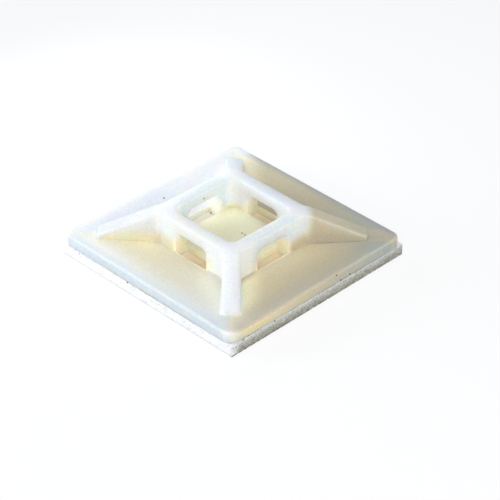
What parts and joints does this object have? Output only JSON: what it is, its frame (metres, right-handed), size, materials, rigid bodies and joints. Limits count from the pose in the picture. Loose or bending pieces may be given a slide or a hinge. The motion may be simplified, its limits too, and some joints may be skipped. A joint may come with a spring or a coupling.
{
  "type": "cable tie mount",
  "caption": "Square self-adhesive base with a raised frame that a cable tie threads under from any side, braced by diagonal ribs.",
  "frame": {"origin": "centre of the underside of the liner, where the mount stands", "axes": "+Z away from the surface it is stuck to, +X and +Y square to the sides of the plate"},
  "size_m": [0.0282, 0.0282, 0.0063],
  "materials": {
    "nylon": "natural translucent nylon, satin",
    "foam": "closed-cell white foam tape, cut edges",
    "liner": "thin waxed liner"
  },
  "bodies": {
    "root": {"mount_body": "nylon", "foam_pad": "foam", "release_liner": "liner"}
  },
  "joints": []
}
